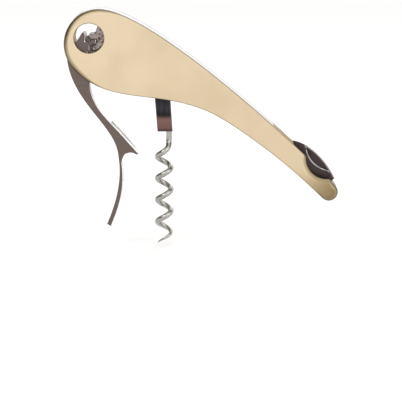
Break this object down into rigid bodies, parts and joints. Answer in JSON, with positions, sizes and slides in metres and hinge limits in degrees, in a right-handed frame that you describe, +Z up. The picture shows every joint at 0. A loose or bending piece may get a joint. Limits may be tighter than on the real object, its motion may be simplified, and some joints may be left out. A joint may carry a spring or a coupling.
{
  "type": "lever corkscrew",
  "caption": "Lever corkscrew with a drop-shaped two-shell handle, a geared claw lever, a hanging worm and a crescent foil blade at the tip.",
  "frame": {"origin": "where the worm's axis crosses the plane of the bottle's lip", "axes": "+Z up along the worm's axis, out of the bottle; +X towards the handle's tip; Y across the two shells"},
  "size_m": [0.1123, 0.0168, 0.0974],
  "materials": {
    "shell": "satin champagne, finely bead-blasted, with polished rims",
    "spine": "satin steel",
    "pin": "ground steel",
    "gearing": "satin steel with bright edges",
    "link": "dark satin steel",
    "collar": "plain turned brass",
    "lever": "warm grey satin steel with bright edges",
    "stem": "dark polished",
    "worm": "polished wire",
    "blade": "dark polished steel with a bright back"
  },
  "bodies": {
    "handle": {"front_shell": "shell", "rear_shell": "shell", "spine": "spine", "spine_pins": "pin", "front_quadrant": "gearing", "rear_quadrant": "gearing", "quadrant_pins": "pin", "link_pin": "pin", "link_collars": "collar", "stem_pin": "pin", "stem_collars": "collar", "stem_stop": "pin", "blade_pin": "pin", "blade_collars": "pin", "blade_washers": "collar", "tip_spacer": "pin"},
    "link": {"link": "link", "lever_collars": "collar"},
    "lever": {"lever": "lever", "lever_pin": "lever"},
    "worm": {"worm_stem": "stem", "worm": "worm"},
    "blade": {"foil_blade": "blade"}
  },
  "joints": [
    {"name": "link_swing", "type": "hinge", "parent": "handle", "child": "link", "pos_m": [-0.02027, 0, 0.04963], "axis": [0, -1, 0], "range_deg": [-23, 18]},
    {"name": "lever_roll", "type": "hinge", "parent": "link", "child": "lever", "pos_m": [-0.03286, 0, 0.04416], "axis": [0, -1, 0], "range_deg": [-44, 33]},
    {"name": "worm_swing", "type": "hinge", "parent": "handle", "child": "worm", "pos_m": [-0.0013, 0, 0.0355], "axis": [0, -1, 0], "range_deg": [-69, 52]},
    {"name": "blade_swing", "type": "hinge", "parent": "handle", "child": "blade", "pos_m": [0.06775, 0, -0.01519], "axis": [0, 1, 0], "range_deg": [0, 165]}
  ],
  "couplings": [
    {"joint": "link_swing", "follows": "lever_roll", "ratio": 0.5},
    {"joint": "worm_swing", "follows": "lever_roll", "ratio": 1.55}
  ]
}
